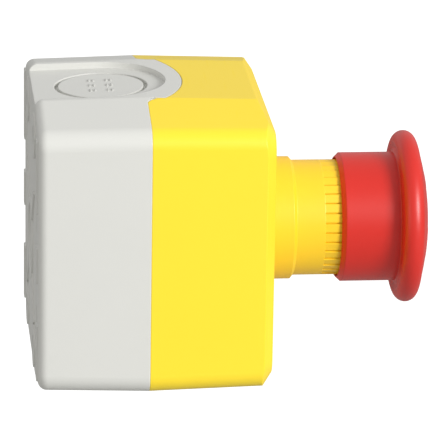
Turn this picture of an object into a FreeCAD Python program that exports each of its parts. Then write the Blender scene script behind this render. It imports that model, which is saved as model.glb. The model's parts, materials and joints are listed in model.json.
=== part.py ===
import FreeCAD, Part
import math
import os

# Emergency stop button in a surface wall station.
# Modelled in the station's own frame: x to the right, y up, z out of the wall.
# Each piece is turned at export so that the station's front faces -Y and +Z is up.
# The origin is the middle of the wall fixing pattern, on the plane that touches the wall.

# Enclosure
half_width = 34.0
half_height = 34.0
back_z = 0.4            # back of the base, behind the raised pads
seam_z = 25.6           # where base and lid meet
front_z = 53.7          # front face of the lid
base_draft = 1.47       # degrees
lid_draft = 1.51
plateau_half = 16.2     # flat middle of the top and bottom
shoulder_angle = 11.5   # slope beside that flat, degrees
corner_r = 4.4
back_edge_r = 2.0
bevel_angle = 34.0      # slope of the bevel round the front face, degrees
face_half_x = 30.2
face_half_y = 28.6
face_corner_r = 4.4

# Walls, inner rim and seal
floor_t = 2.6
wall_t = 2.6
lid_wall_t = 2.4
lid_front_t = 3.0
rim_out = 3.0           # the rim's outer and inner faces, measured in from the outside
rim_in = 4.9
rim_top = 37.9
seal_t = 1.5
ledge_t = 2.6

# Tongue of the base that shows in the lid's top and bottom
tongue_r = 29.2
tongue_mid_z = 5.5
tongue_gap = 0.12
flare_x = 20.8
flare_z = 28.2
flare_belly_x = 0.95    # middle of the flare's curve, from the slit and from the seam
flare_belly_z = 0.62
tip_room = 3.0          # extra gap past the flare's tip, in tongue gaps
slit_width = 0.45       # between the tongue's side and the tip of its flare
slit_foot_z = 26.4
sliver_foot_z = 27.4    # the lid's sliver ends short of the slit's foot
foot_overlap = 0.5

# Recess and knock-out
recess_r = 14.8
recess_mid_z = 16.2
recess_floor = 31.8     # height of the recess floor at the wall plane
recess_slope = 1.75     # degrees
knock_r = 10.7
knock_depth = 1.0
knock_groove = 0.9      # width of the ring groove
mark_rise = 0.22        # height of the raised bars
mark_long, mark_wide = 1.5, 0.4
mark_columns = 4.1      # between columns of bars
mark_row = 2.0          # from the middle to each row
mark_pair = 0.5         # from a pair's middle to each bar
knock_skin = 1.2

# Fasteners
lid_screw_x, lid_screw_y = 24.0, 21.5
post_r = 4.6
screw_r = 1.9
screw_head_r = 3.5
screw_head_t = 2.4
head_seat_z = 50.6
fix_x, fix_y = 15.0, 25.0
fix_hole_r = 2.25
pilot_r = 1.65          # plain holes for the thread-forming lid screws
pilot_z = 8.0
lid_hole_r = 2.1

# Operator
collar_r = 14.25
collar_front = 60.05
neck_r = 13.4
neck_start = 60.75
neck_front = 78.0
flute_start = 67.3
flute_count = 36
flute_lean = 0.22       # fall across each tooth
flute_depth = 0.65
flute_turns = (0.84, 0.88, 0.95)   # end of the tooth and both sides of its groove, as shares of a step
barrel_r = 10.95
barrel_end = 38.0
panel_hole_r = 11.15
bore_r = 9.2
web_back = 45.0
neck_floor = 64.0
neck_bore_r = 12.2
stem_r = 4.0
stem_clear = 0.05
travel = 4.5

# Mushroom head
head_r = 20.0
rim_r = 2.45
rim_mid_z = 87.1
dome_r = 59.6
dome_apex = 92.3
skirt_r = 15.0
skirt_mouth_r = 14.03
skirt_in_r = 13.9
skirt_back = 71.0
skirt_square = 72.0
root_width = 1.0        # shallow groove where the skirt meets the rim
root_rise = 0.5
head_roof = 84.2

# Latch
cone_back_z = 48.6
cone_small_r = 3.0
latch_ratio = 0.22
pawl_clear = 0.06
pawl_z0, pawl_z1 = 47.1, 50.1
pawl_half_y = 2.5

# Contact blocks
block_x = 5.4
block_half_x = 5.1
block_half_y = 16.0
block_z0, block_z1 = 12.0, 34.0
chamber_z0, chamber_z1 = 15.0, 32.4
chamber_half_x, chamber_half_y = 3.9, 13.2
terminal_y = 10.6
plunger_top = 39.95
foot_back = 40.0
nc_contact_z = 25.4
no_contact_z = 18.4
bridge_t = 0.8
strip_t = 0.8
contact_rest_gap = 0.05
no_gap = 2.25           # opening of the normally open contact at rest


def at(x, y, z):
    return FreeCAD.Vector(x, y, z)


def box(x0, x1, y0, y1, z0, z1):
    return Part.makeBox(x1 - x0, y1 - y0, z1 - z0, at(x0, y0, z0))


def disc(r, z0, z1, x=0.0, y=0.0):
    return Part.makeCylinder(r, z1 - z0, at(x, y, z0))


def ring(r_in, r_out, z0, z1, x=0.0, y=0.0):
    return disc(r_out, z0, z1, x, y).cut(disc(r_in, z0 - 1, z1 + 1, x, y))


def union(shapes):
    return shapes[0].multiFuse(shapes[1:]).removeSplitter()


def turned(points):
    """Solid of revolution round the button axis, from (radius, z) points."""
    vectors = [at(r, 0, z) for r, z in points]
    face = Part.Face(Part.makePolygon(vectors + vectors[:1]))
    return face.revolve(at(0, 0, 0), at(0, 0, 1), 360)


def mirror_x(shape):
    return shape.mirror(at(0, 0, 0), at(1, 0, 0))


def mirror_y(shape):
    return shape.mirror(at(0, 0, 0), at(0, 1, 0))


def four_corners(x, y):
    return [(x, y), (-x, y), (-x, -y), (x, -y)]


# Outlines

def rounded_wire(corners, radii, z):
    """Closed wire through the corners, each one rounded by its radius (0 leaves it sharp)."""
    count = len(corners)
    stops = []
    for i, radius in enumerate(radii):
        here = at(corners[i][0], corners[i][1], z)
        before = at(corners[i - 1][0], corners[i - 1][1], z).sub(here).normalize()
        after = at(corners[(i + 1) % count][0], corners[(i + 1) % count][1], z).sub(here).normalize()
        if radius == 0:
            stops.append((here, None, here))
            continue
        half = before.getAngle(after) / 2
        reach = radius / math.tan(half)
        inward = before.add(after).normalize()
        middle = here.add(inward.multiply(radius / math.sin(half) - radius))
        stops.append((here.add(before.multiply(reach)), middle, here.add(after.multiply(reach))))
    edges = []
    for i, (start, middle, end) in enumerate(stops):
        if middle is not None:
            edges.append(Part.Arc(start, middle, end).toShape())
        edges.append(Part.LineSegment(end, stops[(i + 1) % count][0]).toShape())
    return Part.Wire(edges)


def section(z, inset=0.0, shrink=0.0):
    """Outline of the enclosure at height z: flat top, sloped shoulders, straight sides."""
    half_x = half_width - inset - shrink
    half_y = half_height - inset - shrink
    slope = math.tan(math.radians(shoulder_angle))
    flat = plateau_half - inset * math.tan(math.radians(shoulder_angle / 2))
    shoulder = half_y - (half_x - flat) * slope
    radius = max(corner_r - inset, 0.8)
    corners = [(flat, half_y), (half_x, shoulder), (half_x, -shoulder), (flat, -half_y),
               (-flat, -half_y), (-half_x, -shoulder), (-half_x, shoulder), (-flat, half_y)]
    return rounded_wire(corners, [0, radius, radius, 0, 0, radius, radius, 0], z)


def prism(z0, z1, inset):
    return Part.Face(section(z0, inset)).extrude(at(0, 0, z1 - z0))


def drafted(z0, z1, draft, inset=0.0):
    """Shell body that gets smaller away from the seam."""
    ends = [section(z, inset, abs(z - seam_z) * math.tan(math.radians(draft))) for z in (z0, z1)]
    return Part.makeLoft(ends, True, True)


def rounded_rectangle(half_x, half_y, radius, z):
    return rounded_wire(four_corners(half_x, half_y), [radius] * 4, z)


# Enclosure

def lid_outside():
    """Drafted body with a bevel all round the front face."""
    spread = 8.0
    drop = spread * math.tan(math.radians(bevel_angle))
    crown = Part.makeLoft([rounded_rectangle(face_half_x, face_half_y, face_corner_r, front_z),
                           rounded_rectangle(face_half_x + spread, face_half_y + spread,
                                             face_corner_r + spread, front_z - drop)], True, True)
    below = box(-40, 40, -40, 40, seam_z - 1, front_z - drop)
    return drafted(seam_z, front_z, lid_draft).common(crown.fuse(below))


def tongue_outline(gap):
    """Outline seen from above, in x and z: flared foot, a slit each side, then one large arc."""
    side = plateau_half + gap
    radius = tongue_r + gap
    end_z = tongue_mid_z + math.sqrt(radius ** 2 - side ** 2)
    foot_z = seam_z - foot_overlap
    slit_z = slit_foot_z if gap == 0 else sliver_foot_z
    slit_x = plateau_half + slit_width - gap / 2
    flare_end = at(slit_x, 0, flare_z + tip_room * gap)
    flare_start = at(flare_x + gap, 0, seam_z)
    flare_mid = at(plateau_half + slit_width + flare_belly_x + gap / 2, 0,
                   seam_z + flare_belly_z + gap / 2)
    right = [flare_start, flare_end, at(slit_x, 0, slit_z), at(side, 0, slit_z), at(side, 0, end_z)]
    left = [at(-p.x, 0, p.z) for p in right]
    arc = Part.Arc(right[-1], at(0, 0, tongue_mid_z + radius), left[-1]).toShape()
    flare_right = Part.Arc(right[0], flare_mid, right[1]).toShape()
    flare_left = Part.Arc(left[1], at(-flare_mid.x, 0, flare_mid.z), left[0]).toShape()
    foot = [at(-flare_start.x, 0, foot_z), at(flare_start.x, 0, foot_z)]
    edges = [flare_right]
    edges += [Part.LineSegment(a, b).toShape() for a, b in zip(right[1:-1], right[2:])]
    edges.append(arc)
    back_down = left[::-1]
    edges += [Part.LineSegment(a, b).toShape() for a, b in zip(back_down[:-2], back_down[1:-1])]
    edges.append(flare_left)
    edges += [Part.LineSegment(left[0], foot[0]).toShape(), Part.LineSegment(foot[0], foot[1]).toShape(),
              Part.LineSegment(foot[1], right[0]).toShape()]
    return Part.Wire(edges)


def tongue_block(gap, y0):
    block = Part.Face(tongue_outline(gap)).extrude(at(0, 40 - y0, 0))
    block.translate(at(0, y0, 0))
    return block


def tongue():
    top = tongue_block(0.0, half_height - rim_in + 0.4)
    return top.common(drafted(seam_z, front_z, lid_draft)).fuse(
        top.common(drafted(back_z, seam_z, base_draft)))


def recess():
    """U-shaped recess in the top, open to the back, with the knock-out's ring groove in its floor."""
    outline = disc(recess_r, 0, 20).fuse(box(-recess_r, recess_r, -30, 0, 0, 20))
    outline.rotate(at(0, 0, 0), at(1, 0, 0), -90)       # extrusion now runs up, open end to the wall
    outline = outline.mirror(at(0, 0, 0), at(0, 0, 1))
    groove = Part.makeCylinder(knock_r, knock_depth + 1, at(0, -knock_depth, 0), at(0, 1, 0))
    groove = groove.cut(Part.makeCylinder(knock_r - knock_groove, 9, at(0, -9, 0), at(0, 1, 0)))
    cut = outline.fuse(groove)
    for x, z in knock_marks():
        cut = cut.cut(box(x - mark_long / 2, x + mark_long / 2, -0.1, mark_rise,
                          z - mark_wide / 2, z + mark_wide / 2))
    cut.translate(at(0, 0, recess_mid_z))
    cut.rotate(at(0, 0, 0), at(1, 0, 0), -recess_slope)
    cut.translate(at(0, recess_floor, 0))
    return cut


def knock_marks():
    """Middles of the short raised bars, in pairs, two rows of three."""
    return [(x, row + pair) for x in (-mark_columns, 0.0, mark_columns)
            for row in (-mark_row, mark_row) for pair in (-mark_pair, mark_pair)]


def back_relief(base):
    """Raised pads, shallow slots and a round boss on the back."""
    bars = [(11.4, 28.2), (-4.9, 3.2), (-28.2, -15.3)]
    pads = []
    for y0, y1 in bars:
        pad = box(27.6, 30.9, y0, y1, 0.0, back_z + 0.2)
        pads += [pad, mirror_x(pad)]
    pads += [disc(5.2, 0.0, back_z + 0.2, x, y) for x, y in four_corners(fix_x, fix_y)]
    pads.append(ring(8.0, 9.4, 0.0, back_z + 0.2, 0, -4))
    for turn in (45, -45):
        rib = box(9.0, 22.0, -0.45, 0.45, 0.0, back_z + 0.2)
        rib.rotate(at(0, 0, 0), at(0, 0, 1), turn)
        rib.translate(at(0, -4, 0))
        pads += [rib, mirror_x(rib)]
    body = union([base] + pads)
    slots = []
    for x0, x1, y0, y1 in ((20.6, 22.8, 14.0, 26.0), (24.2, 25.6, 5.0, 12.0), (23.0, 25.4, -24.5, -12.5)):
        slot = box(x0, x1, y0, y1, -1.0, back_z + 0.6)
        slots += [slot, mirror_x(slot)]
    slots.append(disc(5.6, -1.0, back_z + 0.5, 0, -4))
    return body.cut(union(slots))


def base_outside():
    """Drafted body whose back edge is rolled in by a quarter round."""
    draft = math.tan(math.radians(base_draft))
    steps = 8
    wires = []
    for i in range(steps + 1):
        angle = math.radians(90.0 * i / steps)
        z = back_z + back_edge_r * (1 - math.cos(angle))
        wires.append(section(z, back_edge_r * (1 - math.sin(angle)), (seam_z - z) * draft))
    wires.append(section(seam_z))
    return Part.makeLoft(wires, True, True)


def rear_base():
    body = union([base_outside(), prism(20.0, rim_top, rim_out), tongue(), mirror_y(tongue())])
    floor_z = back_z + floor_t
    pocket_top = 19.4
    pocket = drafted(floor_z, pocket_top, base_draft, wall_t)
    backing = box(-recess_r - 1.0, recess_r + 1.0, half_height - rim_in, 40, 0, 30)
    pocket = pocket.cut(backing.fuse(mirror_y(backing)))
    body = body.cut(pocket.fuse(prism(floor_z, rim_top + 1, rim_in)))
    spots = four_corners(lid_screw_x, lid_screw_y)
    posts = [disc(post_r, floor_z - 0.5, seam_z + 0.4, x, y) for x, y in spots]
    body = back_relief(union([body] + posts))
    holes = [disc(pilot_r, pilot_z, seam_z + 1, x, y) for x, y in spots]
    holes += [disc(fix_hole_r, -1, floor_z + 1, x, y) for x, y in four_corners(fix_x, fix_y)]
    back_of_skin = Part.makeCylinder(knock_r, 10, at(0, recess_floor - knock_skin - knock_depth - 9.6,
                                                     recess_mid_z), at(0, 1, 0))
    holes += [recess(), mirror_y(recess()), back_of_skin, mirror_y(back_of_skin)]
    return body.cut(union(holes))


def front_lid():
    ledge_z = rim_top + seal_t
    front_in = front_z - lid_front_t
    cavity = union([drafted(seam_z - 1, ledge_z, lid_draft, lid_wall_t),
                    prism(ledge_z - 0.5, ledge_z + ledge_t, rim_in + 0.3),
                    drafted(ledge_z + ledge_t, front_in - 2.2, lid_draft, lid_wall_t),
                    prism(front_in - 2.3, front_in, rim_in)])
    body = lid_outside().cut(cavity)
    spots = four_corners(lid_screw_x, lid_screw_y)
    bosses = [disc(post_r, seam_z + 0.6, front_in + 0.5, x, y) for x, y in spots]
    body = union([body] + bosses)
    slot_floor = half_height - rim_out - 1.2
    slot = tongue_block(tongue_gap, slot_floor).fuse(tongue_block(0.0, slot_floor))
    cuts = [slot, mirror_y(slot), disc(panel_hole_r, front_in - 1, front_z + 1)]
    cuts += [disc(lid_hole_r, seam_z, front_z + 1, x, y) for x, y in spots]
    cuts += [disc(screw_head_r + 0.2, head_seat_z - 0.6, front_z + 1, x, y) for x, y in spots]
    return body.cut(union(cuts))


def lid_gasket():
    return prism(rim_top, rim_top + seal_t, rim_out).cut(prism(rim_top - 1, rim_top + seal_t + 1, rim_in))


def lid_screws():
    tip_z = 10.0
    screws = []
    for x, y in four_corners(lid_screw_x, lid_screw_y):
        head = disc(screw_head_r, head_seat_z, head_seat_z + screw_head_t, x, y)
        head = head.makeFillet(0.5, [e for e in head.Edges if e.BoundBox.ZMin > head_seat_z + 1])
        shank = disc(screw_r, seam_z + 0.4, head_seat_z, x, y).fuse(disc(1.6, tip_z, seam_z + 0.4, x, y))
        cross = box(x - 2.0, x + 2.0, y - 0.45, y + 0.45, head_seat_z + 1.2, front_z)
        cross = cross.fuse(box(x - 0.45, x + 0.45, y - 2.0, y + 2.0, head_seat_z + 1.2, front_z))
        screws.append(head.fuse(shank).cut(cross))
    return Part.makeCompound(screws)


def screw_seals():
    return Part.makeCompound([ring(screw_r + 0.05, screw_head_r, head_seat_z - 0.6, head_seat_z, x, y)
                              for x, y in four_corners(lid_screw_x, lid_screw_y)])


# Operator

def fluted_neck():
    """Neck end with grip teeth and a narrow groove between each two."""
    step = 360.0 / flute_count
    points = []
    for i in range(flute_count):
        tooth_end, groove_start, groove_end = flute_turns
        for turn, radius in ((0.0, neck_r), (tooth_end, neck_r - flute_lean),
                             (groove_start, neck_r - flute_depth), (groove_end, neck_r - flute_depth)):
            angle = math.radians((i + turn) * step)
            points.append(at(radius * math.cos(angle), radius * math.sin(angle), flute_start))
    face = Part.Face(Part.makePolygon(points + points[:1]))
    return face.extrude(at(0, 0, neck_front - flute_start))


def threaded_barrel():
    pitch, depth = 1.5, 0.55
    points = [(0, front_z), (0, barrel_end), (barrel_r - 0.6, barrel_end), (barrel_r, barrel_end + 0.6)]
    z = barrel_end + 1.2
    while z < front_z - 4.0:
        points += [(barrel_r, z), (barrel_r - depth, z + pitch / 2)]
        z += pitch
    points += [(barrel_r, z), (barrel_r, front_z)]
    return turned(points)


def operator_body():
    seat_r, seat_t = 13.3, 0.8
    collar = turned([(0, front_z), (collar_r, front_z), (collar_r, collar_front), (neck_r, neck_start),
                     (neck_r, flute_start), (0, flute_start)])
    body = union([threaded_barrel(), collar, fluted_neck()])
    cuts = [disc(neck_bore_r, neck_floor, neck_front + 1), disc(stem_r + stem_clear, web_back - 1, neck_floor + 1),
            disc(6.5, neck_floor - 3.0, neck_floor + 1), disc(bore_r, barrel_end - 1, web_back),
            ring(panel_hole_r + 0.2, seat_r, front_z - 1, front_z + seat_t)]
    slot = box(-9.4, 9.4, -pawl_half_y - 0.1, pawl_half_y + 0.1, pawl_z0 - 0.1, pawl_z1 + 0.1)
    groove = ring(6.6, 9.9, pawl_z0 + 0.8, pawl_z1 - 0.8)
    return body.cut(union(cuts + [slot, groove]))


def panel_gasket():
    return ring(panel_hole_r + 0.2, 13.3, front_z, front_z + 0.8)


def fixing_nut():
    top = front_z - lid_front_t
    nut = ring(barrel_r + 0.05, 14.2, top - 3.2, top)
    notches = []
    for i in range(6):
        notch = box(12.9, 15, -1.3, 1.3, top - 4, top - 0.8)
        notch.rotate(at(0, 0, 0), at(0, 0, 1), 60 * i)
        notches.append(notch)
    return nut.cut(union(notches))


def contact_carrier():
    """Mounting collar behind the lid, with a plate and four clips for the contact blocks."""
    collar = ring(barrel_r + 0.05, 13.8, barrel_end, 46.6)
    plate = box(-14.0, 14.0, -17.4, 17.4, block_z1, barrel_end)
    clips = []
    for side in (-1, 1):
        for x in (-block_x, block_x):
            y0, y1 = sorted((side * 16.05, side * 17.4))
            leg = box(x - 2.6, x + 2.6, y0, y1, 27.0, block_z1)
            h0, h1 = sorted((side * 15.35, side * 16.2))
            clips += [leg, box(x - 2.6, x + 2.6, h0, h1, 27.0, 27.9)]
    lever = box(13.0, 17.5, -2.0, 2.0, 40.0, 44.0)
    body = union([collar, plate, lever] + clips)
    return body.cut(disc(bore_r, block_z1 - 1, barrel_end + 0.5)).cut(
        disc(barrel_r + 0.05, barrel_end, 50))


def stem_seal():
    return ring(stem_r + stem_clear, 6.5, neck_floor - 3.0, neck_floor)


def push_stem():
    """Stem with the latch cone, a spring flange under the head and a spigot for the foot."""
    cone_top = cone_back_z + travel
    cone_top_r = cone_small_r + latch_ratio * travel
    return turned([(0, foot_back), (2.4, foot_back), (2.4, foot_back + 3.0), (cone_small_r, foot_back + 3.0),
                   (cone_small_r, cone_back_z), (cone_top_r, cone_top), (stem_r, cone_top), (stem_r, 77.0),
                   (8.4, 77.0), (8.4, 78.2), (stem_r, 78.2), (stem_r, 81.0), (3.3, 81.0), (3.3, 81.9),
                   (stem_r, 81.9), (stem_r, 83.4), (0, 83.4)])


def stem_clip():
    clip = ring(3.32, 6.0, 81.05, 81.85)
    return clip.cut(box(0, 7, -1.8, 1.8, 80, 83))


def pusher_foot():
    arms = union([box(-8.0, 8.0, -2.8, 2.8, foot_back, foot_back + 2.9),
                  box(-2.8, 2.8, -8.0, 8.0, foot_back, foot_back + 2.9)])
    return arms.cut(disc(2.4, foot_back - 1, foot_back + 4))


def latch_pawl(side):
    """Flat pawl whose tip rides on the stem's cone; side is -1 or 1."""
    tip = cone_small_r + pawl_clear
    rise = (pawl_z1 - cone_back_z) * latch_ratio
    points = [(tip, pawl_z0), (7.4, pawl_z0), (7.4, pawl_z1), (tip + rise, pawl_z1), (tip, cone_back_z)]
    vectors = [at(side * x, -pawl_half_y, z) for x, z in points]
    body = Part.Face(Part.makePolygon(vectors + vectors[:1])).extrude(at(0, 2 * pawl_half_y, 0))
    groove = box(6.7, 8, -3, 3, pawl_z0 + 1.0, pawl_z1 - 1.0)
    return body.cut(groove if side > 0 else mirror_x(groove))


def latch_spring():
    ring_spring = ring(7.45, 8.15, pawl_z0 + 1.1, pawl_z1 - 1.1)
    return ring_spring.cut(box(-1.2, 1.2, 5, 10, 40, 60))


def coil(radius, wire, z0, z1, turns):
    """Helical spring of round wire between two heights."""
    height = z1 - z0 - wire
    helix = Part.makeLongHelix(height / turns, height, radius)
    circle = Part.Wire(Part.makeCircle(wire / 2, at(radius, 0, 0), at(0, 1, 0)))
    spring = Part.Wire(helix).makePipeShell([circle], True, True)
    spring.translate(at(0, 0, z0 + wire / 2))
    return spring


# Head

def mushroom_head():
    """Domed head with a thick round rim, and a skirt that slides over the neck."""
    rim_x = head_r - rim_r
    dome_mid_z = dome_apex - dome_r
    join_z = dome_mid_z + math.sqrt(dome_r ** 2 - rim_x ** 2)
    under = rim_mid_z - rim_r
    path = [Part.Arc(at(0, 0, dome_apex), at(dome_r * math.sin(math.asin(rim_x / dome_r) / 2), 0,
                     dome_mid_z + dome_r * math.cos(math.asin(rim_x / dome_r) / 2)), at(rim_x, 0, join_z)),
            Part.Arc(at(rim_x, 0, join_z), at(head_r, 0, rim_mid_z), at(rim_x, 0, under))]
    corners = [(rim_x, under), (skirt_r + root_width, under + root_rise), (skirt_r, under),
               (skirt_r, skirt_square),
               (skirt_mouth_r, skirt_back), (skirt_in_r, skirt_back), (skirt_in_r, head_roof), (0, head_roof),
               (0, dome_apex)]
    edges = [piece.toShape() for piece in path]
    edges += [Part.LineSegment(at(a[0], 0, a[1]), at(b[0], 0, b[1])).toShape()
              for a, b in zip(corners, corners[1:])]
    return Part.Face(Part.Wire(edges)).revolve(at(0, 0, 0), at(0, 0, 1), 360)


def head_insert():
    """Cam sleeve pressed up under the head's roof."""
    sleeve = union([ring(10.3, 11.7, 69.5, head_roof), ring(4.1, 11.7, 82.4, head_roof)])
    windows = [box(9, 13, -2.2, 2.2, 69, 73.5)]
    windows.append(mirror_x(windows[0]))
    return sleeve.cut(union(windows)).cut(disc(6.3, 80, 83.45)).cut(disc(stem_r + stem_clear, 80, 83.45))


# Contact blocks

def block_housing(x):
    outside = box(x - block_half_x, x + block_half_x, -block_half_y, block_half_y, block_z0, block_z1)
    outside = outside.makeChamfer(0.5, [e for e in outside.Edges if e.BoundBox.ZLength > 20])
    cuts = [box(x - chamber_half_x, x + chamber_half_x, -chamber_half_y, chamber_half_y,
                chamber_z0, chamber_z1),
            box(x - 2.15, x + 2.15, -2.15, 2.15, chamber_z1 - 1, block_z1 + 1)]
    for side in (-1, 1):
        y0, y1 = sorted((side * 12.5, side * 17))
        cuts += [disc(2.8, block_z0 - 1, chamber_z0 + 0.5, x, side * terminal_y),
                 box(x - 2.4, x + 2.4, y0, y1, chamber_z0, chamber_z0 + 3.2)]
        n0, n1 = sorted((side * 15.3, side * 17))
        cuts.append(box(x - 2.8, x + 2.8, n0, n1, 26.8, 28.1))
    return outside.cut(union(cuts))


def terminals(x, contact_z):
    """Two brass strips: contact arm, leg and clamping plate."""
    plate_z = 16.2
    strips = []
    for side in (-1, 1):
        arm = sorted((side * 4.6, side * 13.0))
        leg = sorted((side * 12.2, side * 13.0))
        plate = sorted((side * 8.0, side * 13.0))
        strip = union([box(x - 2.5, x + 2.5, arm[0], arm[1], contact_z, contact_z + 0.8),
                       box(x - 2.5, x + 2.5, leg[0], leg[1], plate_z, contact_z + 0.8),
                       box(x - 2.5, x + 2.5, plate[0], plate[1], plate_z, plate_z + 0.8)])
        strips.append(strip.cut(disc(1.55, plate_z - 1, plate_z + 1, x, side * terminal_y)))
    return Part.makeCompound(strips)


def terminal_screws(x):
    screws = []
    for side in (-1, 1):
        y = side * terminal_y
        screw = disc(2.6, 12.4, 15.0, x, y).fuse(disc(1.5, 15.0, 18.2, x, y))
        cross = box(x - 1.6, x + 1.6, y - 0.35, y + 0.35, 12, 13.6)
        cross = cross.fuse(box(x - 0.35, x + 0.35, y - 1.6, y + 1.6, 12, 13.6))
        screws.append(screw.cut(cross))
    return Part.makeCompound(screws)


def clamp_washers(x):
    plates = []
    for side in (-1, 1):
        y = side * terminal_y
        plates.append(box(x - 2.5, x + 2.5, y - 2.5, y + 2.5, 15.05, 16.1).cut(disc(1.55, 14, 17, x, y)))
    return Part.makeCompound(plates)


def plunger(x, shoulder_z, end_z, shaft_half):
    return union([box(x - 2.0, x + 2.0, -2.0, 2.0, shoulder_z, plunger_top),
                  box(x - shaft_half, x + shaft_half, -shaft_half, shaft_half, end_z, shoulder_z + 0.5)])


def bridge(x, top_z, hole_half):
    bar = box(x - 2.3, x + 2.3, -7.2, 7.2, top_z - bridge_t, top_z)
    return bar.cut(box(x - hole_half, x + hole_half, -hole_half, hole_half, top_z - 2, top_z + 2))


nc_bridge_top = nc_contact_z - contact_rest_gap
no_bridge_top = no_contact_z + strip_t + no_gap + bridge_t
no_shoulder_z = no_bridge_top + travel - no_gap + contact_rest_gap   # meets the bridge at full travel

pieces = {
    "rear_base": rear_base(),
    "front_lid": front_lid(),
    "lid_gasket": lid_gasket(),
    "lid_screws": lid_screws(),
    "screw_seals": screw_seals(),
    "operator_body": operator_body(),
    "panel_gasket": panel_gasket(),
    "fixing_nut": fixing_nut(),
    "contact_carrier": contact_carrier(),
    "stem_seal": stem_seal(),
    "push_stem": push_stem(),
    "stem_clip": stem_clip(),
    "pusher_foot": pusher_foot(),
    "return_spring": coil(7.4, 1.0, neck_floor, 77.0, 5),
    "twist_spring": coil(9.3, 0.8, 78.4, 82.3, 3),
    "latch_pawl_left": latch_pawl(-1),
    "latch_pawl_right": latch_pawl(1),
    "latch_spring": latch_spring(),
    "mushroom_head": mushroom_head(),
    "head_insert": head_insert(),
    "nc_plunger": plunger(-block_x, nc_bridge_top + 0.6, nc_bridge_top - bridge_t - 0.6, 1.2),
    "nc_bridge": bridge(-block_x, nc_bridge_top, 1.2),
    "no_plunger": plunger(block_x, no_shoulder_z, 19.6, 1.2),
    "no_bridge": bridge(block_x, no_bridge_top, 1.5),
}
for label, x, contact_z, bridge_top in (("nc", -block_x, nc_contact_z, nc_bridge_top),
                                        ("no", block_x, no_contact_z, no_bridge_top)):
    pieces[label + "_block_housing"] = block_housing(x)
    pieces[label + "_terminals"] = terminals(x, contact_z)
    pieces[label + "_terminal_screws"] = terminal_screws(x)
    pieces[label + "_clamp_washers"] = clamp_washers(x)
    spring = coil(2.1, 0.5, chamber_z0, bridge_top - bridge_t, 5)
    spring.translate(at(x, 0, 0))
    pieces[label + "_spring"] = spring

os.makedirs("parts", exist_ok=True)
for name, shape in pieces.items():
    shape = shape.copy()
    shape.rotate(at(0, 0, 0), at(1, 0, 0), 90)
    shape.exportStep("parts/" + name + ".step")
    print(name, "valid" if shape.isValid() else "INVALID", "solids", len(shape.Solids),
          "volume", round(shape.Volume, 1))
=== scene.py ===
import json
import math
import bpy
import bmesh
from mathutils import Matrix, Vector


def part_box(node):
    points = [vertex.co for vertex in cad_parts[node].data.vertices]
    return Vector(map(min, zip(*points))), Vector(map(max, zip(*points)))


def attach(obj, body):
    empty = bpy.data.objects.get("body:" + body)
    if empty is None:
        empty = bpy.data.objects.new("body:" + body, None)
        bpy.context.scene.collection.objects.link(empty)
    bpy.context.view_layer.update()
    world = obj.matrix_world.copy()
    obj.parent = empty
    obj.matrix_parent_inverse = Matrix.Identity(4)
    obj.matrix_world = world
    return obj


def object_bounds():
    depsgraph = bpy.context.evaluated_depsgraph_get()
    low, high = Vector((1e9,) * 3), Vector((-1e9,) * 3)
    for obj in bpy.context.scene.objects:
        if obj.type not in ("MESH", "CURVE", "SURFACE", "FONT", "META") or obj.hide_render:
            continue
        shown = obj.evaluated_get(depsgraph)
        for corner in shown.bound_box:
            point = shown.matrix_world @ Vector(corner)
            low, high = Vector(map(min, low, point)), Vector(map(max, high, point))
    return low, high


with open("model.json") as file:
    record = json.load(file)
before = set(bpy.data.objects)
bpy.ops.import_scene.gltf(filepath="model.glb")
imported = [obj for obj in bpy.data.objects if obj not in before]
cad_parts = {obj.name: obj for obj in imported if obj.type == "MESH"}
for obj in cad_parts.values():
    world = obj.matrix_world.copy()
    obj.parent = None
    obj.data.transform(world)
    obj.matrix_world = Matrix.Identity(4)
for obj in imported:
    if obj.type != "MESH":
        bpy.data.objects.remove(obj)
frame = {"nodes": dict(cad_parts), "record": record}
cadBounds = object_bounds()
print("frame loaded:", len(frame["nodes"]), "nodes")

mm = 0.001


# Shared node groups

def newGroup(name, inputs, outputs):
    tree = bpy.data.node_groups.new(name, "ShaderNodeTree")
    for label, kind, value in inputs:
        socket = tree.interface.new_socket(label, in_out="INPUT", socket_type=kind)
        if value is not None:
            socket.default_value = value
    for label, kind in outputs:
        tree.interface.new_socket(label, in_out="OUTPUT", socket_type=kind)
    return tree, tree.nodes.new("NodeGroupInput"), tree.nodes.new("NodeGroupOutput")


def addNode(tree, kind, inputs=None, **settings):
    node = tree.nodes.new(kind)
    for key, value in settings.items():
        setattr(node, key, value)
    for key, value in (inputs or {}).items():
        if isinstance(value, bpy.types.NodeSocket):
            tree.links.new(value, node.inputs[key])
        else:
            node.inputs[key].default_value = value
    return node


def fillGroup(tree, group, values):
    return addNode(tree, "ShaderNodeGroup", values, node_tree=group)


def makeNoise(tree, place, scale, detail, roughness=0.5):
    inputs = {"Vector": place, "Scale": scale, "Detail": detail, "Roughness": roughness}
    return addNode(tree, "ShaderNodeTexNoise", inputs).outputs[0]


def doMath(tree, operation, a, b=0.0, clamp=False):
    return addNode(tree, "ShaderNodeMath", {0: a, 1: b}, operation=operation, use_clamp=clamp).outputs[0]


def rescale(tree, value, low, high, newLow, newHigh):
    node = addNode(tree, "ShaderNodeMapRange", {"Value": value, "From Min": low, "From Max": high,
                                                "To Min": newLow, "To Max": newHigh})
    return node.outputs["Result"]


edgeShape = {"radius": 0.3 * mm, "gain": 4.0, "samples": 8}

skinShape = {"driftDetail": 3.0, "driftRoughness": 0.55, "grainDetail": 4.0, "grainRoughness": 0.6,
             "rubTurn": (0.3, 0.5, 0.9), "rubScale": (60.0, 900.0, 420.0), "rubDetail": 2.0,
             "rubFrom": 0.62, "rubTo": 0.74}

metalShape = {"lineDetail": 5.0, "spotScale": 500.0, "spotDetail": 4.0, "spotFrom": 0.48, "spotTo": 0.7,
              "spotStrength": 0.75, "spotRoughness": 0.25}


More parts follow.
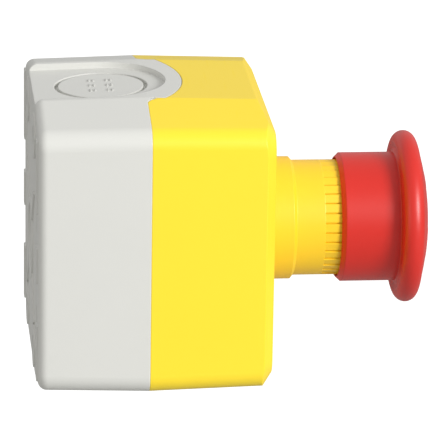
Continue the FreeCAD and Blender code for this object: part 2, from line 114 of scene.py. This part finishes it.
def makeEdgeGroup(shape):
    # rounds sharp edges in the shading, and says where they are
    tree, given, made = newGroup("softEdge", [
        ("Radius", "NodeSocketFloat", shape["radius"]), ("Gain", "NodeSocketFloat", shape["gain"])],
        [("Mask", "NodeSocketFloat"), ("Normal", "NodeSocketVector")])
    rounded = addNode(tree, "ShaderNodeBevel", {"Radius": given.outputs["Radius"]}, samples=shape["samples"])
    surface = addNode(tree, "ShaderNodeNewGeometry")
    facing = addNode(tree, "ShaderNodeVectorMath", {0: rounded.outputs[0], 1: surface.outputs["True Normal"]},
                     operation="DOT_PRODUCT")
    away = doMath(tree, "SUBTRACT", 1.0, facing.outputs["Value"])
    mask = doMath(tree, "MULTIPLY", away, given.outputs["Gain"], clamp=True)
    tree.links.new(mask, made.inputs["Mask"])
    tree.links.new(rounded.outputs[0], made.inputs["Normal"])
    return tree


def makeSkinGroup(shape):
    # moulded plastic or rubber: slow drift of tone, fine grain, faint rubs, edges paled partly by wear and
    # partly by a painted highlight
    tree, given, made = newGroup("mouldedSkin", [
        ("Color", "NodeSocketColor", (0.8, 0.8, 0.8, 1)), ("Drift", "NodeSocketFloat", 0.03),
        ("Drift Scale", "NodeSocketFloat", 45.0), ("Grain Scale", "NodeSocketFloat", 2600.0),
        ("Grain Depth", "NodeSocketFloat", 0.00001), ("Roughness", "NodeSocketFloat", 0.45),
        ("Roughness Drift", "NodeSocketFloat", 0.06), ("Rubs", "NodeSocketFloat", 0.05),
        ("Edge", "NodeSocketFloat", 0.0), ("Edge Wear And Painted Highlight", "NodeSocketFloat", 0.08),
        ("Normal", "NodeSocketVector", None)],
        [("Color", "NodeSocketColor"), ("Roughness", "NodeSocketFloat"), ("Normal", "NodeSocketVector")])
    place = addNode(tree, "ShaderNodeTexCoord").outputs["Object"]
    drift = makeNoise(tree, place, given.outputs["Drift Scale"], shape["driftDetail"],
                      shape["driftRoughness"])
    grain = makeNoise(tree, place, given.outputs["Grain Scale"], shape["grainDetail"],
                      shape["grainRoughness"])
    stretched = addNode(tree, "ShaderNodeMapping", {"Vector": place, "Rotation": shape["rubTurn"],
                                                    "Scale": shape["rubScale"]})
    rubNoise = makeNoise(tree, stretched.outputs[0], 1.0, shape["rubDetail"])
    rubbed = rescale(tree, rubNoise, shape["rubFrom"], shape["rubTo"], 0.0, 1.0)
    rubs = doMath(tree, "MULTIPLY", rubbed, given.outputs["Rubs"])
    wave = doMath(tree, "MULTIPLY", doMath(tree, "SUBTRACT", drift, 0.5), given.outputs["Drift"])
    # paler edges: partly wear, partly a painted highlight along sharp edges
    paintedHighlightAndWear = doMath(tree, "MULTIPLY", given.outputs["Edge"], given.outputs["Edge Wear And Painted Highlight"])
    value = doMath(tree, "ADD", doMath(tree, "ADD", 1.0, wave), paintedHighlightAndWear)
    toned = addNode(tree, "ShaderNodeHueSaturation", {"Color": given.outputs["Color"], "Value": value})
    spread = doMath(tree, "MULTIPLY", doMath(tree, "SUBTRACT", grain, 0.5), given.outputs["Roughness Drift"])
    rough = doMath(tree, "ADD", doMath(tree, "ADD", given.outputs["Roughness"], spread), rubs, clamp=True)
    finishGroup(tree, given, made, toned, rough, grain, given.outputs["Grain Depth"])
    return tree


def makeMetalGroup(shape):
    # drawn, turned or stamped metal: fine lines, dull spots, brighter edges
    tree, given, made = newGroup("workedMetal", [
        ("Color", "NodeSocketColor", (0.7, 0.7, 0.7, 1)),
        ("Dull Color", "NodeSocketColor", (0.4, 0.4, 0.4, 1)),
        ("Line Scale", "NodeSocketVector", (200.0, 3000.0, 200.0)),
        ("Line Depth", "NodeSocketFloat", 0.000006), ("Roughness", "NodeSocketFloat", 0.3),
        ("Edge", "NodeSocketFloat", 0.0), ("Normal", "NodeSocketVector", None)],
        [("Color", "NodeSocketColor"), ("Roughness", "NodeSocketFloat"), ("Normal", "NodeSocketVector")])
    place = addNode(tree, "ShaderNodeTexCoord").outputs["Object"]
    stretched = addNode(tree, "ShaderNodeMapping", {"Vector": place, "Scale": given.outputs["Line Scale"]})
    lines = makeNoise(tree, stretched.outputs[0], 1.0, shape["lineDetail"])
    spots = makeNoise(tree, place, shape["spotScale"], shape["spotDetail"])
    dull = rescale(tree, spots, shape["spotFrom"], shape["spotTo"], 0.0, shape["spotStrength"])
    dull = doMath(tree, "SUBTRACT", dull, given.outputs["Edge"], clamp=True)
    toned = addNode(tree, "ShaderNodeMixRGB", {"Fac": dull, "Color1": given.outputs["Color"],
                                               "Color2": given.outputs["Dull Color"]})
    roughened = doMath(tree, "MULTIPLY", dull, shape["spotRoughness"])
    rough = doMath(tree, "ADD", given.outputs["Roughness"], roughened, clamp=True)
    finishGroup(tree, given, made, toned, rough, lines, given.outputs["Line Depth"])
    return tree


def finishGroup(tree, given, made, toned, rough, height, depth):
    bump = addNode(tree, "ShaderNodeBump", {"Height": height, "Strength": 1.0, "Distance": depth,
                                            "Normal": given.outputs["Normal"]})
    tree.links.new(toned.outputs[0], made.inputs["Color"])
    tree.links.new(rough, made.inputs["Roughness"])
    tree.links.new(bump.outputs[0], made.inputs["Normal"])


softEdge = makeEdgeGroup(edgeShape)
mouldedSkin = makeSkinGroup(skinShape)
workedMetal = makeMetalGroup(metalShape)
print("node groups made")


# Materials, one for each finish

def startMaterial(name, edgeRadius, edgeGain):
    material = bpy.data.materials.new(name)
    material.use_nodes = True
    tree = material.node_tree
    shader = tree.nodes["Principled BSDF"]
    edge = fillGroup(tree, softEdge, {"Radius": edgeRadius, "Gain": edgeGain})
    return material, tree, shader, edge


def joinShader(tree, group, shader):
    tree.links.new(group.outputs["Color"], shader.inputs["Base Color"])
    tree.links.new(group.outputs["Roughness"], shader.inputs["Roughness"])
    tree.links.new(group.outputs["Normal"], shader.inputs["Normal"])


def plasticMaterial(name, look):
    material, tree, shader, edge = startMaterial(name, look["edgeRadius"], look["edgeGain"])
    skin = fillGroup(tree, mouldedSkin, {
        "Color": (*look["color"], 1), "Drift": look["drift"], "Drift Scale": look["driftScale"],
        "Grain Scale": look["grainScale"], "Grain Depth": look["grainDepth"], "Roughness": look["roughness"],
        "Roughness Drift": look["roughnessDrift"], "Rubs": look["rubs"], "Edge": edge.outputs["Mask"],
        "Edge Wear And Painted Highlight": look["edgeWearAndPaintedHighlight"], "Normal": edge.outputs["Normal"]})
    joinShader(tree, skin, shader)
    shader.inputs["IOR"].default_value = look["ior"]
    shader.inputs["Specular IOR Level"].default_value = look["specular"]
    return material


def metalMaterial(name, look):
    material, tree, shader, edge = startMaterial(name, look["edgeRadius"], look["edgeGain"])
    metal = fillGroup(tree, workedMetal, {
        "Color": (*look["color"], 1), "Dull Color": (*look["dull"], 1), "Line Scale": look["lines"],
        "Line Depth": look["lineDepth"], "Roughness": look["roughness"], "Edge": edge.outputs["Mask"],
        "Normal": edge.outputs["Normal"]})
    joinShader(tree, metal, shader)
    shader.inputs["Metallic"].default_value = 1.0
    return material


# the edge paling on plastics is partly wear and partly a painted highlight
plainPlastic = {"color": (0.5, 0.5, 0.5), "drift": 0.03, "driftScale": 45.0, "grainScale": 2600.0,
                "grainDepth": 0.00001, "roughness": 0.42, "roughnessDrift": 0.08, "rubs": 0.06,
                "edgeRadius": 0.35 * mm, "edgeGain": 5.0, "edgeWearAndPaintedHighlight": 0.06, "ior": 1.5, "specular": 0.5}

plasticLooks = {
    "base_grey": {"color": (0.665, 0.665, 0.628), "edgeRadius": 0.4 * mm},
    "lid_yellow": {"color": (0.97, 0.72, 0.028), "edgeRadius": 0.4 * mm},
    "collar_yellow": {"color": (0.94, 0.62, 0.020), "edgeRadius": 0.25 * mm},
    "head_red": {"color": (0.62, 0.018, 0.010), "edgeRadius": 0.4 * mm, "roughness": 0.38,
                 "edgeWearAndPaintedHighlight": 0.02, "specular": 0.55},
    "nut_black": {"color": (0.035, 0.035, 0.038), "roughness": 0.55, "grainDepth": 0.00002},
    "carrier_grey": {"color": (0.10, 0.105, 0.11), "roughness": 0.55, "grainDepth": 0.00002},
    "stem_white": {"color": (0.78, 0.78, 0.74), "roughness": 0.35},
    "foot_black": {"color": (0.03, 0.03, 0.03), "roughness": 0.4},
    "nc_housing": {"color": (0.08, 0.08, 0.085), "roughness": 0.5},
    "no_housing": {"color": (0.085, 0.085, 0.09), "roughness": 0.5},
    "nc_actuator": {"color": (0.62, 0.04, 0.025), "roughness": 0.4},
    "no_actuator": {"color": (0.03, 0.30, 0.08), "roughness": 0.4},
    "seal_rubber": {"color": (0.022, 0.022, 0.022), "roughness": 0.78, "specular": 0.25,
                    "grainDepth": 0.00003, "grainScale": 1700.0},
}

plainMetal = {"edgeRadius": 0.15 * mm, "edgeGain": 4.0}

metalLooks = {
    "screw_steel": {"color": (0.74, 0.74, 0.75), "dull": (0.50, 0.50, 0.52), "lines": (1600.0, 300.0, 1600.0),
                    "lineDepth": 0.000006, "roughness": 0.28},
    "spring_steel": {"color": (0.66, 0.66, 0.68), "dull": (0.40, 0.39, 0.38), "lines": (900.0, 2400.0, 900.0),
                     "lineDepth": 0.000005, "roughness": 0.24},
    "pawl_metal": {"color": (0.62, 0.62, 0.63), "dull": (0.42, 0.42, 0.43), "lines": (300.0, 2600.0, 500.0),
                   "lineDepth": 0.000008, "roughness": 0.34},
    "contact_brass": {"color": (0.80, 0.58, 0.22), "dull": (0.48, 0.32, 0.12),
                      "lines": (350.0, 2200.0, 350.0), "lineDepth": 0.000007, "roughness": 0.27},
}

materials = {}
for slotName, changes in plasticLooks.items():
    materials[slotName] = plasticMaterial(slotName, {**plainPlastic, **changes})
for slotName, changes in metalLooks.items():
    materials[slotName] = metalMaterial(slotName, {**plainMetal, **changes})

slotOfNode = {part["node"]: part["material_slot"] for part in frame["record"]["subparts"]}
for nodeName, cadObject in frame["nodes"].items():
    cadObject.data.materials.clear()
    cadObject.data.materials.append(materials[slotOfNode[nodeName]])
print("materials made:", len(materials))


# Raised turn arrows on the head

turnArrows = {"count": 3, "innerRadius": 9.4 * mm, "outerRadius": 11.8 * mm, "sweep": 46.0, "steps": 14,
              "headWidth": 1.5 * mm, "headSweep": 17.0, "height": 0.06 * mm, "sink": 0.25 * mm,
              "domeRadius": 59.6 * mm, "edgeBevel": 0.03 * mm, "bevelSteps": 2, "bevelProfile": 0.5,
              "rimAngle": 50.0}


def addPiece(bm, name, material, body):
    mesh = bpy.data.meshes.new(name)
    bm.to_mesh(mesh)
    bm.free()
    piece = bpy.data.objects.new(name, mesh)
    bpy.context.scene.collection.objects.link(piece)
    mesh.materials.append(material)
    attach(piece, body)
    return piece


def vertsOf(geometry):
    return [v for v in geometry if isinstance(v, bmesh.types.BMVert)]


def addArrow(bm, look):
    # one flat arrow, turning about the button's axis
    start = [bm.verts.new((look["innerRadius"], 0, 0)), bm.verts.new((look["outerRadius"], 0, 0))]
    rail = bm.edges.new(start)
    swept = bmesh.ops.spin(bm, geom=start + [rail], cent=(0, 0, 0), axis=(0, 1, 0), dvec=(0, 0, 0),
                           angle=math.radians(look["sweep"]), steps=look["steps"], use_duplicate=False)
    shaftEnd = vertsOf(swept["geom_last"])
    middle = (look["innerRadius"] + look["outerRadius"]) / 2
    tipAngle = -math.radians(look["sweep"] + look["headSweep"])
    endAngle = -math.radians(look["sweep"])
    wings = [bm.verts.new((r * math.cos(endAngle), 0, r * math.sin(endAngle)))
             for r in (look["innerRadius"] - look["headWidth"], look["outerRadius"] + look["headWidth"])]
    tip = bm.verts.new((middle * math.cos(tipAngle), 0, middle * math.sin(tipAngle)))
    shaftEnd.sort(key=lambda v: v.co.length)
    bm.faces.new((wings[0], shaftEnd[0], shaftEnd[1], wings[1], tip))
    bmesh.ops.triangulate(bm, faces=[f for f in bm.faces if len(f.verts) > 4])


def makeArrows(look):
    # the undersides are sunk into the dome, and the tops follow it
    bm = bmesh.new()
    addArrow(bm, look)
    first = bm.verts[:] + bm.edges[:] + bm.faces[:]
    for i in range(1, look["count"]):
        copy = bmesh.ops.duplicate(bm, geom=first)
        bmesh.ops.rotate(bm, verts=vertsOf(copy["geom"]), cent=(0, 0, 0),
                         matrix=Matrix.Rotation(math.radians(360.0 * i / look["count"]), 3, "Y"))
    bmesh.ops.subdivide_edges(bm, edges=bm.edges[:], cuts=1, use_grid_fill=True)
    bmesh.ops.recalc_face_normals(bm, faces=bm.faces[:])
    if bm.faces[0].normal.y > 0:
        bmesh.ops.reverse_faces(bm, faces=bm.faces[:])
    raised = bmesh.ops.extrude_face_region(bm, geom=bm.faces[:], use_keep_orig=True)
    tops = set(vertsOf(raised["geom"]))
    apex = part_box("mushroom_head")[0].y
    for v in bm.verts:
        radius = math.hypot(v.co.x, v.co.z)
        dome = apex + look["domeRadius"] - math.sqrt(look["domeRadius"] ** 2 - radius ** 2)
        v.co.y = dome - look["height"] if v in tops else dome + look["sink"]
    bmesh.ops.recalc_face_normals(bm, faces=bm.faces[:])
    sharp = math.radians(look["rimAngle"])
    rims = [e for e in bm.edges if e.calc_face_angle(0) > sharp and all(v in tops for v in e.verts)]
    bmesh.ops.bevel(bm, geom=rims, offset=look["edgeBevel"], offset_type="OFFSET", affect="EDGES",
                    segments=look["bevelSteps"], profile=look["bevelProfile"], material=-1,
                    clamp_overlap=True)
    return bm


arrows = addPiece(makeArrows(turnArrows), "turn_arrows", materials["head_red"], "head")
print("turn arrows made")


# Floor, light and camera

studio = {"floorDrop": 0.30, "floorSize": 40.0, "floorCells": 8, "floorColor": (0.40, 0.40, 0.39),
          "floorRoughness": 0.9, "floorGlow": 0.85, "sky": 0.61,
          "keyPower": 29.0, "keyDistance": 1.8, "keySize": 0.8, "keyAzimuth": -42.0, "keyElevation": 24.0,
          "keyColor": (1.0, 1.0, 1.0),
          "fillPower": 2.2, "fillDistance": 1.6, "fillSize": 0.7, "fillAzimuth": 62.0, "fillElevation": 12.0,
          "fillColor": (1.0, 0.96, 0.92)}

lens = {"distance": 900.0 * mm, "azimuth": 5.7, "elevation": 17.78, "roll": 0.95, "scale": 4.303,
        "target": (0.0, -45.12 * mm, -1.44 * mm), "sensor": 36.0, "width": 448,
        "clipEnd": 100.0}


def makeFloor(look):
    # its glow is seen by the camera only, so it doesn't light the part
    bm = bmesh.new()
    bmesh.ops.create_grid(bm, x_segments=look["floorCells"], y_segments=look["floorCells"],
                          size=look["floorSize"] / 2)
    bmesh.ops.translate(bm, verts=bm.verts[:], vec=(0, 0, cadBounds[0].z - look["floorDrop"]))
    mesh = bpy.data.meshes.new("floor")
    bm.to_mesh(mesh)
    bm.free()
    floor = bpy.data.objects.new("floor", mesh)
    bpy.context.scene.collection.objects.link(floor)
    material = bpy.data.materials.new("paleFloor")
    material.use_nodes = True
    tree = material.node_tree
    shader = tree.nodes["Principled BSDF"]
    shader.inputs["Base Color"].default_value = (*look["floorColor"], 1)
    shader.inputs["Roughness"].default_value = look["floorRoughness"]
    shader.inputs["Emission Color"].default_value = (1, 1, 1, 1)
    seen = addNode(tree, "ShaderNodeLightPath").outputs["Is Camera Ray"]
    glow = doMath(tree, "MULTIPLY", seen, look["floorGlow"])
    tree.links.new(glow, shader.inputs["Emission Strength"])
    mesh.materials.append(material)


def lookFrom(target, azimuth, elevation, distance):
    a, e = math.radians(azimuth), math.radians(elevation)
    outwards = Vector((-math.cos(a) * math.cos(e), math.sin(a) * math.cos(e), math.sin(e)))
    return Vector(target) + distance * outwards


def aimed(place, target, roll=0.0):
    forward = (Vector(target) - place).normalized()
    right = forward.cross(Vector((0, 0, 1))).normalized()
    up = right.cross(forward)
    r = math.radians(roll)
    right, up = right * math.cos(r) + up * math.sin(r), up * math.cos(r) - right * math.sin(r)
    turn = Matrix((right, up, -forward)).transposed()
    return Matrix.Translation(place) @ turn.to_4x4()


def makeLight(name, look):
    data = bpy.data.lights.new(name + "Light", "AREA")
    data.shape = "DISK"
    data.size = look[name + "Size"]
    data.energy = look[name + "Power"]
    data.color = look[name + "Color"]
    lamp = bpy.data.objects.new(name + "Light", data)
    bpy.context.scene.collection.objects.link(lamp)
    place = lookFrom(lens["target"], look[name + "Azimuth"], look[name + "Elevation"],
                     look[name + "Distance"])
    lamp.matrix_world = aimed(place, lens["target"])


def makeSky(look):
    world = bpy.data.worlds.new("studioSky")
    bpy.context.scene.world = world
    world.use_nodes = True
    background = world.node_tree.nodes["Background"]
    background.inputs["Color"].default_value = (1, 1, 1, 1)
    background.inputs["Strength"].default_value = look["sky"]


def makeCamera(look):
    data = bpy.data.cameras.new("camera")
    data.sensor_width = look["sensor"]
    data.lens = look["scale"] * look["distance"] / mm / look["width"] * look["sensor"]
    data.clip_end = look["clipEnd"]
    camera = bpy.data.objects.new("camera", data)
    bpy.context.scene.collection.objects.link(camera)
    place = lookFrom(look["target"], look["azimuth"], look["elevation"], look["distance"])
    camera.matrix_world = aimed(place, look["target"], look["roll"])
    bpy.context.scene.camera = camera


makeFloor(studio)
makeLight("key", studio)
makeLight("fill", studio)
makeSky(studio)
makeCamera(lens)
bpy.context.scene.view_settings.view_transform = "Standard"
print("stage made")
